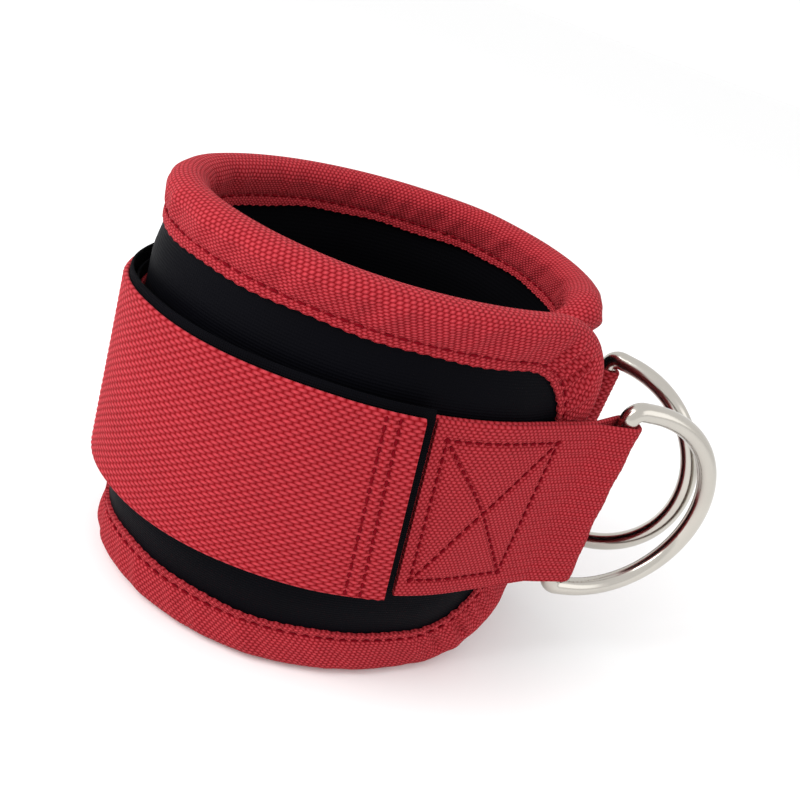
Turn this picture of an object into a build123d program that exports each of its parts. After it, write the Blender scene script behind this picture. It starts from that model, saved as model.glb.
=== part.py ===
from build123d import *
import os
from math import cos, radians, sin

# Padded ankle cuff for cable exercises: a curled foam pad with a bound edge, a strap sewn round its
# outside, a D-ring in a folded loop at each end, and a free tail that closes over the front.
# Millimetres. +Z is up along the ankle, +X points from the ankle towards the rings, and -Y is the
# side where the tail ends. The origin is the middle of the ankle opening on the bottom plane.

# Pad
PAD_HEIGHT = 105.0
FOAM_INSIDE = -3.2         # faces of the foam, measured outward from the pad's middle line
FOAM_OUTSIDE = 3.2
FABRIC_UNDER_TAPE = 0.8    # how thick cover and lining are where the tape squeezes them
TAPE = 1.0                 # thickness of the binding tape
PAD_FACE = FOAM_OUTSIDE + FABRIC_UNDER_TAPE + TAPE
BINDING_TOP = 12.0         # width of tape that shows on the top, bottom and end edges
BINDING_BOTTOM = 14.0
BINDING_END = 12.0
PAD_CORNER = 20.0
WINDOW_CORNER = 11.0

# Straps
STRAP_WIDTH = 50.0
STRAP = 1.3                # thickness of the woven strap
PILE_TAPE = 0.8            # thickness of the loop tape and of the hook tape
AIR = 0.05                 # gap left between sewn layers
STRAP_MIDDLE = 55.5        # height of the sewn strap's middle, and of the front ring
TAIL_MIDDLE = 56.0         # height of the tail's middle, and of the rear ring
HOOK_RAISE = 2.0           # how far the hook tape shows above the tail
LOOP_MEET = 11.0           # distance from a ring's bar to where its two strap layers meet

# D-rings
WIRE = 2.5                 # radius of the ring wire
BAR_CLEARANCE = 0.1
RING_INSIDE = 52.0         # length of the opening along the bar
RING_LEG = 6.0             # straight leg between the bar's middle line and the round bow
RING_CORNER = 3.0
FRONT_RING_TURN = 22.0     # direction of each bow, seen from above
REAR_RING_TURN = -24.0

# Thread
BOX_NEAR = 22.8            # from the front bar to the near and far rows of the sewn square
BOX_FAR = 50.8
BOX_HALF = 20.0
TIP_ROWS = (5.2, 8.2)      # from the tail's tip to its two rows of thread
THREAD = 0.3               # height that a seam stands above its fabric
THREAD_WIDTH = 0.6

# Plan of the pad's middle line, walked clockwise seen from above. Each leg is a length with no
# radius, or a radius with the angle that it turns through.
FRONT_END = (56.0, -13.5)
FRONT_HEADING = 220.0
FRONT_LEGS = [(0, 25.0), (72, 25), (54, 15)]
LEFT_LEGS = [(57, 40), (32, 70), (67, 40), (64, 30)]
RIGHT_LEGS = [(24, 30), (68, 10)]
TUCK_LEGS = [(45, 35), (38, 20), (15, 42), (0, 7.0)]

FRONT_BAR_REACH = 10.3     # from the pad's front end to the front ring's bar, along the strap
REAR_BAR_REACH = 35.0      # from where the strap leaves the pad to the rear ring's bar
TAIL_STANDOFF = 0.3        # extra air between the tail and the left of the pad
TAIL_GAP = 0.6             # gap between two hinged lengths of tail
CUT_MARGIN = 0.1           # how far a corner cut passes through the faces of a slab
END_SAG = 7.0              # how far the curl of the rear end falls away from a flat cut
TIP_FROM_END = 46.5        # from the pad's front end back to the tip of the tail


class Track:
    """A flat path of straight and round legs that can be followed at any distance outside it."""

    def __init__(self, start, heading, legs):
        self.legs = []
        x, y = start
        length = 0.0
        for radius, amount in legs:
            turn = amount if radius else 0.0
            reach = radius * radians(amount) if radius else amount
            self.legs.append((length, length + reach, x, y, heading, radius))
            if radius:
                a, b = radians(heading), radians(heading - turn)
                x += radius * (sin(a) - sin(b))
                y += radius * (cos(b) - cos(a))
            else:
                x += amount * cos(radians(heading))
                y += amount * sin(radians(heading))
            heading -= turn
            length += reach
        self.length = length

    def place(self, s, outward):
        """The point at distance s along the path and a distance outside it, and its heading."""
        for low, high, x, y, heading, radius in self.legs:
            if s <= high + 1e-9:
                break
        if radius:
            a = radians(heading)
            b = a - (s - low) / radius
            x += radius * (sin(a) - sin(b))
            y += radius * (cos(b) - cos(a))
        else:
            b = radians(heading)
            x += (s - low) * cos(b)
            y += (s - low) * sin(b)
        return x - outward * sin(b), y + outward * cos(b), b

    def curve(self, outward, s0, s1):
        """Edges that follow the path from s0 to s1 at a distance outside it."""
        edges = []
        for low, high, x, y, heading, radius in self.legs:
            a, b = max(low, s0), min(high, s1)
            if b - a < 1e-6:
                continue
            ends = [self.place(a, outward)[:2], self.place(b, outward)[:2]]
            if radius:
                middle = self.place((a + b) / 2, outward)[:2]
                edges.append(ThreePointArc(ends[0], middle, ends[1]))
            else:
                edges.append(Line(*ends))
        return edges


def prism(edges, low, high):
    """A solid between two heights that stands on the outline made by the edges."""
    return extrude(Pos(0, 0, low) * make_face(edges), amount=high - low, dir=(0, 0, 1))


def band(track, inside, outside, s0, s1, low, high):
    """A curved slab between two distances outside a track, two stations and two heights."""
    edges = track.curve(outside, s0, s1) + track.curve(inside, s0, s1)
    for s in (s0, s1):
        edges.append(Line(track.place(s, inside)[:2], track.place(s, outside)[:2]))
    return prism(edges, low, high)


def corner_block(track, s, walk, height, up, radius, inside, outside):
    """What is cut away to round one corner of a slab; walk and up point into the slab."""
    x, y, heading = track.place(s, inside)
    along = (walk * cos(heading), walk * sin(heading), 0)
    across = Vector(*along).cross(Vector(0, 0, up))
    corner = Plane(origin=(x, y, height), x_dir=along, z_dir=across)
    middle = radius * (1 - cos(radians(45)))
    round_edge = ThreePointArc((radius, 0), (middle, middle), (0, radius))
    face = make_face([Line((0, 0), (radius, 0)), round_edge, Line((0, radius), (0, 0))])
    block = extrude(corner * face, amount=outside - inside, dir=(-sin(heading), cos(heading), 0))
    return block


def rounded_band(track, inside, outside, s0, s1, low, high, radius):
    """A curved slab whose four corners are rounded in its own surface."""
    slab = band(track, inside, outside, s0, s1, low, high)
    for s, walk, sag in ((s0, 1, CUT_MARGIN), (s1, -1, END_SAG)):
        for height, up in ((low, 1), (high, -1)):
            slab -= corner_block(track, s, walk, height, up, radius, inside - sag, outside + CUT_MARGIN)
    return slab


def legs_shape(track, s_bar, outward, turn_sign, inner):
    """Outline of a strap loop seen from above, round a bar and back to where its layers meet."""
    x, y, heading = track.place(s_bar, outward)
    along = (turn_sign * cos(heading), turn_sign * sin(heading))
    across = (-sin(heading), cos(heading))
    half = 0.0 if inner else STRAP + AIR / 2
    radius = WIRE + BAR_CLEARANCE + (0.0 if inner else STRAP)
    meet = (x + along[0] * LOOP_MEET, y + along[1] * LOOP_MEET)
    circle = Pos(x, y) * Circle(radius)
    if inner:
        tip = Pos(*meet) * Circle(AIR / 2)
        return make_hull(circle.edges() + tip.edges())
    ends = [(meet[0] + side * half * across[0], meet[1] + side * half * across[1]) for side in (-1, 1)]
    back = Line(*ends)
    return make_hull(circle.edges() + [back])


def strap_loop(track, s_bar, outward, turn_sign, middle):
    """The part of a strap that wraps a ring's bar, as a solid of the strap's width."""
    outline = legs_shape(track, s_bar, outward, turn_sign, False)
    hollow = legs_shape(track, s_bar, outward, turn_sign, True)
    face = outline - hollow
    low = middle - STRAP_WIDTH / 2
    return extrude(Pos(0, 0, low) * face, amount=STRAP_WIDTH, dir=(0, 0, 1))


def d_ring(bar, height, turn):
    """A bent wire ring with a straight bar standing on the given point, its bow turned outward."""
    half = RING_INSIDE / 2 + WIRE
    c = RING_CORNER
    k = c * (1 - cos(radians(45)))
    corners = []
    for side in (-1, 1):
        start = (0, 0, side * (half - c))
        middle = (k, 0, side * (half - k))
        corners.append(ThreePointArc(start, middle, (c, 0, side * half)))
    path = [Line((0, 0, -(half - c)), (0, 0, half - c))] + corners
    path += [Line((c, 0, side * half), (RING_LEG, 0, side * half)) for side in (-1, 1)]
    path.append(ThreePointArc((RING_LEG, 0, -half), (RING_LEG + half, 0, 0), (RING_LEG, 0, half)))
    wire = Wire(path)
    ring = sweep(Plane(origin=(0, 0, 0), z_dir=(0, 0, 1)) * Circle(WIRE), path=wire)
    return Pos(bar[0], bar[1], height) * Rot(0, 0, turn) * ring


def seam(track, outward, s0, s1, height):
    """One straight row of thread that lies on a strap."""
    low = height - THREAD_WIDTH / 2
    return band(track, outward, outward + THREAD, s0, s1, low, low + THREAD_WIDTH)


def post(track, outward, s, low, high):
    """One upright row of thread."""
    half = THREAD_WIDTH / 2
    return band(track, outward, outward + THREAD, s - half, s + half, low, high)


def box_and_cross(track, outward, s0, s1, middle, half_height, steps=9):
    """The square of thread with a cross in it that holds a strap loop."""
    rows = [post(track, outward, s, middle - half_height, middle + half_height) for s in (s0, s1)]
    for side in (-1, 1):
        rows.append(seam(track, outward, s0 + 1, s1 - 1, middle + side * half_height))
    pitch = (s1 - s0 - 4) / steps
    for i in range(steps):
        a = s0 + 2 + pitch * (i + 0.1)
        rise = (2 * (i + 0.5) / steps - 1) * (half_height - 2)
        for side in (-1, 1):
            if side > 0 or abs(rise) > THREAD_WIDTH:
                rows.append(seam(track, outward, a, a + 0.8 * pitch, middle + side * rise))
    return rows


pad = Track(FRONT_END, FRONT_HEADING, FRONT_LEGS + LEFT_LEGS + RIGHT_LEGS + TUCK_LEGS)

# The strap runs straight past the pad at both ends, so its path has a straight leg added there.
a = radians(FRONT_HEADING)
strap_start = (FRONT_END[0] - FRONT_BAR_REACH * cos(a), FRONT_END[1] - FRONT_BAR_REACH * sin(a))
front_leg = [(0, FRONT_BAR_REACH + FRONT_LEGS[0][1])]
rear_leg = [(0, REAR_BAR_REACH)]
strap = Track(strap_start, FRONT_HEADING, front_leg + FRONT_LEGS[1:] + LEFT_LEGS + RIGHT_LEGS + rear_leg)

# The tail follows the same bends, a little further out on the left.
tail_legs = front_leg + FRONT_LEGS[1:] + [(0, TAIL_STANDOFF)] + LEFT_LEGS + [(0, TAIL_STANDOFF)]
tail = Track(strap_start, FRONT_HEADING, tail_legs + RIGHT_LEGS + rear_leg)

# Layers, as distances outside the pad's middle line
BASE_IN = PAD_FACE + THREAD + AIR
BASE_OUT = BASE_IN + STRAP
FOLD_IN = BASE_OUT + AIR
FOLD_OUT = FOLD_IN + STRAP
PILE_OUT = FOLD_IN + PILE_TAPE
ROOT_IN = PILE_OUT + 2 * AIR
ROOT_OUT = ROOT_IN + STRAP
TAIL_IN = ROOT_OUT + AIR
TAIL_OUT = TAIL_IN + STRAP
FRONT_BAR_OUT = BASE_OUT + AIR / 2
REAR_BAR_OUT = ROOT_OUT + AIR / 2

# Stations along the strap and the tail
tip = FRONT_BAR_REACH + TIP_FROM_END
fold_end = tip - 3.0
strap_leaves = strap.length - REAR_BAR_REACH
front_corner = front_leg[0][1] + radians(72 * 25 + 54 * 15 + 57 * 40) + TAIL_STANDOFF
back_corner = front_corner + radians(32 * 70 + 67 * 40)
rear_meet = tail.length - LOOP_MEET
base_low, base_high = STRAP_MIDDLE - STRAP_WIDTH / 2, STRAP_MIDDLE + STRAP_WIDTH / 2
tail_low, tail_high = TAIL_MIDDLE - STRAP_WIDTH / 2, TAIL_MIDDLE + STRAP_WIDTH / 2

nodes = {}

# Pad: foam between an outer cover and a lining, squeezed at the edges by one binding tape
t = TAPE
core_low, core_high = t, PAD_HEIGHT - t
core = (t, pad.length - t)
window = (BINDING_END, pad.length - BINDING_END, BINDING_BOTTOM, PAD_HEIGHT - BINDING_TOP)


def pad_slab(inside, outside):
    return rounded_band(pad, inside, outside, *core, core_low, core_high, PAD_CORNER - t)


def window_slab(inside, outside, grow=0.0):
    s0, s1, low, high = window
    return rounded_band(pad, inside, outside, s0 - grow, s1 + grow, low - grow, high + grow,
                        WINDOW_CORNER + grow)


cover_in = FOAM_OUTSIDE
cover_edge = FOAM_OUTSIDE + FABRIC_UNDER_TAPE
lining_edge = FOAM_INSIDE - FABRIC_UNDER_TAPE
nodes["foam_core"] = pad_slab(FOAM_INSIDE, FOAM_OUTSIDE)
nodes["outer_cover"] = pad_slab(cover_in, cover_edge) + window_slab(cover_edge, PAD_FACE)
nodes["inner_lining"] = pad_slab(lining_edge, FOAM_INSIDE) + window_slab(-PAD_FACE, lining_edge)
whole = rounded_band(pad, -PAD_FACE, PAD_FACE, 0, pad.length, 0, PAD_HEIGHT, PAD_CORNER)
binding = whole - pad_slab(lining_edge, cover_edge)
binding -= window_slab(cover_edge, PAD_FACE)
nodes["edge_binding"] = binding - window_slab(-PAD_FACE, lining_edge)

# Straps
loop_start = LOOP_MEET
base = band(strap, BASE_IN, BASE_OUT, loop_start, strap_leaves, base_low, base_high)
fold = band(strap, FOLD_IN, FOLD_OUT, loop_start, fold_end, base_low, base_high)
nodes["base_webbing"] = base + fold + strap_loop(strap, 0, FRONT_BAR_OUT, 1, STRAP_MIDDLE)
pile_ends = (fold_end + 0.5, strap_leaves)
nodes["loop_tape"] = band(strap, FOLD_IN, PILE_OUT, *pile_ends, base_low, base_high)

root_start = rear_meet - 62.0
root_inner = band(tail, ROOT_IN, ROOT_OUT, root_start, rear_meet, tail_low, tail_high)
root_outer = band(tail, TAIL_IN, TAIL_OUT, back_corner + TAIL_GAP / 2, rear_meet, tail_low, tail_high)
rear_loop = strap_loop(tail, tail.length, REAR_BAR_OUT, -1, TAIL_MIDDLE)
nodes["tail_root"] = root_inner + root_outer + rear_loop
mid_ends = (front_corner + TAIL_GAP / 2, back_corner - TAIL_GAP / 2)
end_ends = (tip, front_corner - TAIL_GAP / 2)
hook_low, hook_high = tail_low + HOOK_RAISE, tail_high + HOOK_RAISE
for name, hook, ends in (("tail_mid", "mid_hook_tape", mid_ends), ("tail_end", "end_hook_tape", end_ends)):
    nodes[name] = band(tail, TAIL_IN, TAIL_OUT, *ends, tail_low, tail_high)
    first = ends[0] - (2.0 if name == "tail_end" else 0.0)
    nodes[hook] = band(tail, TAIL_IN - PILE_TAPE, TAIL_IN, first, ends[1], hook_low, hook_high)

# Rings
front_bar = strap.place(0, FRONT_BAR_OUT)[:2]
rear_bar = tail.place(tail.length, REAR_BAR_OUT)[:2]
nodes["front_d_ring"] = d_ring(front_bar, STRAP_MIDDLE, FRONT_RING_TURN)
nodes["rear_d_ring"] = d_ring(rear_bar, TAIL_MIDDLE, REAR_RING_TURN)

# Thread
outside_seam = window_slab(PAD_FACE, PAD_FACE + THREAD, 2.5)
nodes["binding_seam_outside"] = outside_seam - window_slab(PAD_FACE, PAD_FACE + THREAD, 2.5 - THREAD_WIDTH)
inside_seam = window_slab(-PAD_FACE - THREAD, -PAD_FACE, 2.5)
nodes["binding_seam_inside"] = inside_seam - window_slab(-PAD_FACE - THREAD, -PAD_FACE, 2.5 - THREAD_WIDTH)
nodes["front_box_stitching"] = box_and_cross(strap, FOLD_OUT, BOX_NEAR, BOX_FAR, STRAP_MIDDLE, BOX_HALF)
rear_box = (rear_meet - 34, rear_meet - 10)
nodes["rear_box_stitching"] = box_and_cross(tail, TAIL_OUT, *rear_box, TAIL_MIDDLE, BOX_HALF)
tip_rows = [post(tail, TAIL_OUT, tip + d, tail_low + 1.5, tail_high - 1.5) for d in TIP_ROWS]
nodes["tail_tip_stitching"] = tip_rows

os.makedirs("parts", exist_ok=True)
for name, shape in nodes.items():
    solids = []
    for piece in shape if isinstance(shape, list) else [shape]:
        solids += piece.solids()
    body = solids[0] if len(solids) == 1 else Compound(children=solids)
    body.label = name
    export_step(body, f"parts/{name}.step")
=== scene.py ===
# %% [markdown]
# # A padded ankle cuff with two D-rings
# The cuff is a curled foam pad with a red tape folded over its edges, a red strap sewn round the
# outside, a steel ring in a folded loop at each end, and a free tail that closes over the front.
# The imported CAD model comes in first. It fixes every size and place, and each piece made below is
# laid where its CAD solid lies, so nothing has to be fitted by eye.

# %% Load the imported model
import math

import bmesh
import bpy
import numpy as np
from mathutils import Matrix, Vector


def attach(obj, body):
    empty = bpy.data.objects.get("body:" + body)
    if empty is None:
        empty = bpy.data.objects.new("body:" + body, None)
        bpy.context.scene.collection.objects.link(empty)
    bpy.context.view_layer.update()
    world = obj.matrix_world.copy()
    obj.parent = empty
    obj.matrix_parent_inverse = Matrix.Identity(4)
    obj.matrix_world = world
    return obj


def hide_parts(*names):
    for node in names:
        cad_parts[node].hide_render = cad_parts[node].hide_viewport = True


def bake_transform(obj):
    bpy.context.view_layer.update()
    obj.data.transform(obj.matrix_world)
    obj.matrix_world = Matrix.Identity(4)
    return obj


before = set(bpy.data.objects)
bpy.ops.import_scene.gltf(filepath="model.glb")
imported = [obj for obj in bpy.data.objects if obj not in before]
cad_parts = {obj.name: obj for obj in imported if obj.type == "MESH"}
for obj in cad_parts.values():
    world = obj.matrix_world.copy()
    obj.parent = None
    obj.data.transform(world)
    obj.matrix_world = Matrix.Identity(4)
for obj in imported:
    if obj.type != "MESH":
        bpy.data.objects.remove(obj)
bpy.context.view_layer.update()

MM = 0.001

# %% [markdown]
# ## Sizes
# These repeat the sizes of the CAD model, in millimetres. Only LIP_CORNER differs: the tape's lips
# turn the pad's corners in a rounder line here than in the CAD. An outward distance is measured
# from the middle line of the pad, so that the layers of a sewn cuff can be stacked one on the next.

# %% Sizes
PAD_HEIGHT = 105.0
LIP_TOP, LIP_BOTTOM, LIP_END = 12.0, 14.0, 12.0
PAD_CORNER, LIP_CORNER = 20.0, 18.0
STRAP_WIDTH, STRAP, PILE = 50.0, 1.3, 0.8
AIR = 0.05
STRAP_MIDDLE, TAIL_MIDDLE = 55.5, 56.0
WIRE, LOOP_MEET = 2.5, 11.0
BASE_IN = 5.35
BASE_MID = BASE_IN + STRAP / 2
BASE_OUT = BASE_IN + STRAP
FOLD_MID = BASE_OUT + AIR + STRAP / 2
FOLD_OUT = BASE_OUT + AIR + STRAP
PILE_MID = BASE_OUT + AIR + PILE / 2
ROOT_MID = BASE_OUT + AIR + PILE + 2 * AIR + STRAP / 2
ROOT_OUT = ROOT_MID + STRAP / 2
TAIL_IN = ROOT_OUT + AIR
TAIL_MID = TAIL_IN + STRAP / 2
TAIL_OUT = TAIL_IN + STRAP
FRONT_BAR_OUT = BASE_OUT + AIR / 2
REAR_BAR_OUT = ROOT_OUT + AIR / 2
print("the tail's outer face stands", round(TAIL_OUT, 2), "mm outside the pad's middle line")

# %% [markdown]
# ## A flat cuff, and how it is curled
# A real cuff is sewn flat and then curled. The same is done here. Each piece is laid out flat, by
# its distance along the cuff, its distance outward and its height, and a walk curls it: straight
# and round legs that meet without a kink. Bending a finished mesh with a modifier could do it too,
# but a walk keeps every length true, which matters for a weave.

# %% The walk
class Walk:
    """A flat path of straight and round legs, each (radius, degrees) or (0, length)."""

    def __init__(self, start, heading, legs):
        rows = []
        x, y = start
        along, h = 0.0, math.radians(heading)
        for radius, amount in legs:
            rows.append((along, x, y, h, radius))
            if radius:
                b = h - math.radians(amount)
                x += radius * (math.sin(h) - math.sin(b))
                y += radius * (math.cos(b) - math.cos(h))
                along += radius * math.radians(amount)
                h = b
            else:
                x += amount * math.cos(h)
                y += amount * math.sin(h)
                along += amount
        self.rows = np.array(rows)
        self.length = along

    def legs_at(self, s):
        """Start, place, heading and radius of the leg that each distance falls on."""
        i = np.clip(np.searchsorted(self.rows[:, 0], s, side="right") - 1, 0, len(self.rows) - 1)
        return np.moveaxis(self.rows[i], -1, 0)

    def heading(self, s):
        low, _, _, h, radius = self.legs_at(s)
        return h - np.where(radius > 0, (s - low) / np.where(radius > 0, radius, 1.0), 0.0)

    def wrap(self, s, out, z):
        """Curl flat points: arrays of distance along, distance outward and height become metres."""
        s, out, z = np.broadcast_arrays(*(np.asarray(v, float) for v in (s, out, z)))
        low, x, y, h, radius = self.legs_at(s)
        d = s - low
        bent = radius > 0
        b = h - np.where(bent, d / np.where(bent, radius, 1.0), 0.0)
        px = x + np.where(bent, radius * (np.sin(h) - np.sin(b)), d * np.cos(h))
        py = y + np.where(bent, radius * (np.cos(b) - np.cos(h)), d * np.sin(h))
        return np.stack([px - out * np.sin(b), py + out * np.cos(b), z], -1) * MM


def round_length(legs):
    """Length of some round legs, in millimetres."""
    return math.radians(sum(radius * degrees for radius, degrees in legs))


FRONT_END, FRONT_HEADING = (56.0, -13.5), 220.0
FRONT_BAR_REACH, REAR_BAR_REACH, TAIL_STANDOFF = 10.3, 35.0, 0.3
FRONT = [(0, 25.0), (72, 25), (54, 15)]
LEFT = [(57, 40), (32, 70), (67, 40), (64, 30)]
RIGHT = [(24, 30), (68, 10)]
TUCK = [(45, 35), (38, 20), (15, 42), (0, 7.0)]

pad = Walk(FRONT_END, FRONT_HEADING, FRONT + LEFT + RIGHT + TUCK)
turn = math.radians(FRONT_HEADING)
strap_start = (FRONT_END[0] - FRONT_BAR_REACH * math.cos(turn),
               FRONT_END[1] - FRONT_BAR_REACH * math.sin(turn))
lead = [(0, FRONT_BAR_REACH + FRONT[0][1])] + FRONT[1:]
strap = Walk(strap_start, FRONT_HEADING, lead + LEFT + RIGHT + [(0, REAR_BAR_REACH)])
standoff = [(0, TAIL_STANDOFF)]
tail = Walk(strap_start, FRONT_HEADING,
            lead + standoff + LEFT + standoff + RIGHT + [(0, REAR_BAR_REACH)])
TIP_FROM_END, FOLD_SHORT_OF_TIP = 46.5, 3.0
TIP = FRONT_BAR_REACH + TIP_FROM_END
FOLD_END = TIP - FOLD_SHORT_OF_TIP
FRONT_CORNER = lead[0][1] + round_length(FRONT[1:] + LEFT[:1]) + TAIL_STANDOFF
BACK_CORNER = FRONT_CORNER + round_length(LEFT[1:3])
REAR_MEET = tail.length - LOOP_MEET
MID_TAIL = (FRONT_CORNER + BACK_CORNER) / 2
print("pad", round(pad.length, 1), "mm long, tail path", round(tail.length, 1), "mm")

# %% [markdown]
# ## Node helpers
# A weave has to look the same in relief and in colour, so one chain of Math nodes makes both; in
# colour its gaps are painted shade and its crowns hold a painted highlight. Math nodes work in
# Geometry Nodes and in materials alike, and the helpers here build them in either.

# %% Node helpers
CROWN_SHORTNESS, CROWN_FULLNESS = 1.15, 0.6


def calc(tree, operation, *inputs):
    """Add one Math node. An input is a number or another node's output."""
    node = tree.nodes.new("ShaderNodeMath")
    node.operation = operation
    for i, value in enumerate(inputs):
        if isinstance(value, (int, float)):
            node.inputs[i].default_value = value
        else:
            tree.links.new(value, node.inputs[i])
    return node.outputs[0]


def crowns(tree, u, v, pitch, row):
    """Height from 0 to 1 of a plain weave: short raised crowns in rows, like laid bricks."""
    rows = calc(tree, "DIVIDE", v, row)
    across = calc(tree, "SINE", calc(tree, "MULTIPLY", calc(tree, "FRACT", rows), math.pi))
    shift = calc(tree, "MULTIPLY", calc(tree, "FLOOR", rows), 0.5)
    place = calc(tree, "FRACT", calc(tree, "ADD", calc(tree, "DIVIDE", u, pitch), shift))
    along = calc(tree, "SINE", calc(tree, "MULTIPLY", place, math.pi))
    # Short along the strap and full across it, so the gaps are dark spots between the crowns;
    # the dark in the colour is painted shade
    short = calc(tree, "POWER", calc(tree, "MAXIMUM", along, 0.0), CROWN_SHORTNESS)
    full = calc(tree, "POWER", calc(tree, "MAXIMUM", across, 0.0), CROWN_FULLNESS)
    return calc(tree, "MULTIPLY", short, full)


# %% [markdown]
# ## Materials
# Polyester tape is matt. Its colour is darker in the gaps of the weave, as painted shade, and paler
# on
# the crowns, as a painted highlight. The pattern reads the "cloth" attribute that each piece carries:
# millimetres along and across the cloth. It bends with the cloth, which Object coordinates would not.

# %% Red woven cloth
WEB_PITCH, WEB_ROW = 2.2, 0.9
SEWN_PITCH, SEWN_ROW = 1.25, 0.85
TAPE_PITCH, TAPE_ROW = 1.35, 1.0
FILAMENT = 0.16
# The dark red of the weave's gaps is painted shade
RED_GAP_SHADE = (0.19, 0.0004, 0.003)


def new_material(name):
    mat = bpy.data.materials.new(name)
    mat.use_nodes = True
    return mat, mat.node_tree, mat.node_tree.nodes["Principled BSDF"]


def mix_colour(tree, factor, dark, light, blend="MIX"):
    node = tree.nodes.new("ShaderNodeMix")
    node.data_type = "RGBA"
    node.blend_type = blend
    colours = [s for s in node.inputs if s.type == "RGBA"]
    for socket, value in zip(colours, (dark, light)):
        if isinstance(value, tuple):
            socket.default_value = (*value, 1.0)
        else:
            tree.links.new(value, socket)
    if isinstance(factor, float):
        node.inputs[0].default_value = factor
    else:
        tree.links.new(factor, node.inputs[0])
    return [s for s in node.outputs if s.type == "RGBA"][0]


def cloth_uv(tree):
    """The piece's own millimetres along and across the cloth."""
    node = tree.nodes.new("ShaderNodeAttribute")
    node.attribute_name = "cloth"
    split = tree.nodes.new("ShaderNodeSeparateXYZ")
    tree.links.new(node.outputs["Vector"], split.inputs[0])
    return split.outputs[0], split.outputs[1]


def noise(tree, scale, detail=3.0):
    """Noise in the piece's Object coordinates."""
    where = tree.nodes.new("ShaderNodeTexCoord")
    node = tree.nodes.new("ShaderNodeTexNoise")
    node.inputs["Scale"].default_value = scale
    node.inputs["Detail"].default_value = detail
    tree.links.new(where.outputs["Object"], node.inputs["Vector"])
    return node.outputs["Fac"]


def bump(tree, shader, height, distance, strength=1.0):
    node = tree.nodes.new("ShaderNodeBump")
    node.inputs["Strength"].default_value = strength
    node.inputs["Distance"].default_value = distance
    tree.links.new(height, node.inputs["Height"])
    tree.links.new(node.outputs["Normal"], shader.inputs["Normal"])


def woven(name, pitch, row, shaded_gap, crown, bump_mm):
    mat, tree, shader = new_material(name)
    u, v = cloth_uv(tree)
    weave = crowns(tree, u, v, pitch, row)
    # Painted shade in the gaps, and a painted highlight on the paler crowns
    colour = mix_colour(tree, weave, shaded_gap, crown)
    # Broad blotches and a fine mottle, which together average to 1
    blotch = calc(tree, "MULTIPLY_ADD", noise(tree, 55.0), 0.16, 0.74)
    blotch = calc(tree, "MULTIPLY_ADD", noise(tree, 700.0), 0.36, blotch)
    shaded = mix_colour(tree, 1.0, colour, blotch, "MULTIPLY")
    tree.links.new(shaded, shader.inputs["Base Color"])
    # Fine filaments run along each crown
    filament = calc(tree, "SINE", calc(tree, "MULTIPLY", v, 2 * math.pi / FILAMENT))
    height = calc(tree, "ADD", weave, calc(tree, "MULTIPLY", filament, 0.06))
    height = calc(tree, "ADD", height, calc(tree, "MULTIPLY", noise(tree, 2500.0), 0.25))
    bump(tree, shader, height, bump_mm * MM)
    shader.inputs["Roughness"].default_value = 0.72
    shader.inputs["Specular IOR Level"].default_value = 0.06
    shader.inputs["Sheen Weight"].default_value = 0.03
    shader.inputs["Sheen Roughness"].default_value = 0.5
    shader.inputs["Sheen Tint"].default_value = (1.0, 0.55, 0.55, 1.0)
    return mat


# Each weave's first colour is painted shade in its gaps, the second its crowns with a painted
# highlight
webbing_red = woven("red_webbing", WEB_PITCH, WEB_ROW, RED_GAP_SHADE, (0.50, 0.046, 0.060), 0.14)
sewn_red = woven("red_webbing_sewn", SEWN_PITCH, SEWN_ROW, RED_GAP_SHADE, (0.48, 0.043, 0.056), 0.20)
binding_red = woven("red_binding", TAPE_PITCH, TAPE_ROW,
                    (0.20, 0.0005, 0.004), (0.54, 0.050, 0.064), 0.26)
print("made", webbing_red.name, sewn_red.name, "and", binding_red.name)

# %% [markdown]
# The black cloths are a smooth knit with fine ribs outside, a plainer lining, and the pile and hook
# tapes, which are rough at a much smaller scale. Thread is a plain dull red and the foam is grey.

# %% Black cloths, thread, foam and steel
def ribbed_black(name, colour, rib, bump_mm, roughness, sheen):
    mat, tree, shader = new_material(name)
    u, v = cloth_uv(tree)
    wave = calc(tree, "SINE", calc(tree, "MULTIPLY", v, 2 * math.pi / rib))
    knit = calc(tree, "SINE", calc(tree, "MULTIPLY", u, 2 * math.pi / (0.8 * rib)))
    height = calc(tree, "MULTIPLY_ADD", wave, 0.5, calc(tree, "MULTIPLY", knit, 0.2))
    height = calc(tree, "ADD", height, calc(tree, "MULTIPLY", noise(tree, 1200.0), 0.6))
    bump(tree, shader, height, bump_mm * MM)
    pale = tuple(2.4 * c for c in colour)
    tree.links.new(mix_colour(tree, noise(tree, 40.0), colour, pale), shader.inputs["Base Color"])
    shader.inputs["Roughness"].default_value = roughness
    shader.inputs["Specular IOR Level"].default_value = 0.03
    shader.inputs["Sheen Weight"].default_value = sheen
    shader.inputs["Sheen Roughness"].default_value = 0.4
    return mat


cover_black = ribbed_black("black_neoprene", (0.0008, 0.0008, 0.0015), 0.75, 0.05, 0.62, 0.004)
lining_black = ribbed_black("black_lining", (0.0007, 0.0007, 0.0011), 1.1, 0.05, 0.8, 0.002)
pile_black = ribbed_black("black_pile", (0.0013, 0.0013, 0.0020), 0.6, 0.18, 0.9, 0.006)


def plain(name, colour, roughness, scale, bump_mm, metallic=0.0, specular=0.5):
    mat, tree, shader = new_material(name)
    dark = tuple(0.82 * c for c in colour)
    tree.links.new(mix_colour(tree, noise(tree, scale), dark, colour), shader.inputs["Base Color"])
    bump(tree, shader, noise(tree, scale * 12), bump_mm * MM)
    shader.inputs["Roughness"].default_value = roughness
    shader.inputs["Metallic"].default_value = metallic
    shader.inputs["Specular IOR Level"].default_value = specular
    return mat


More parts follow.
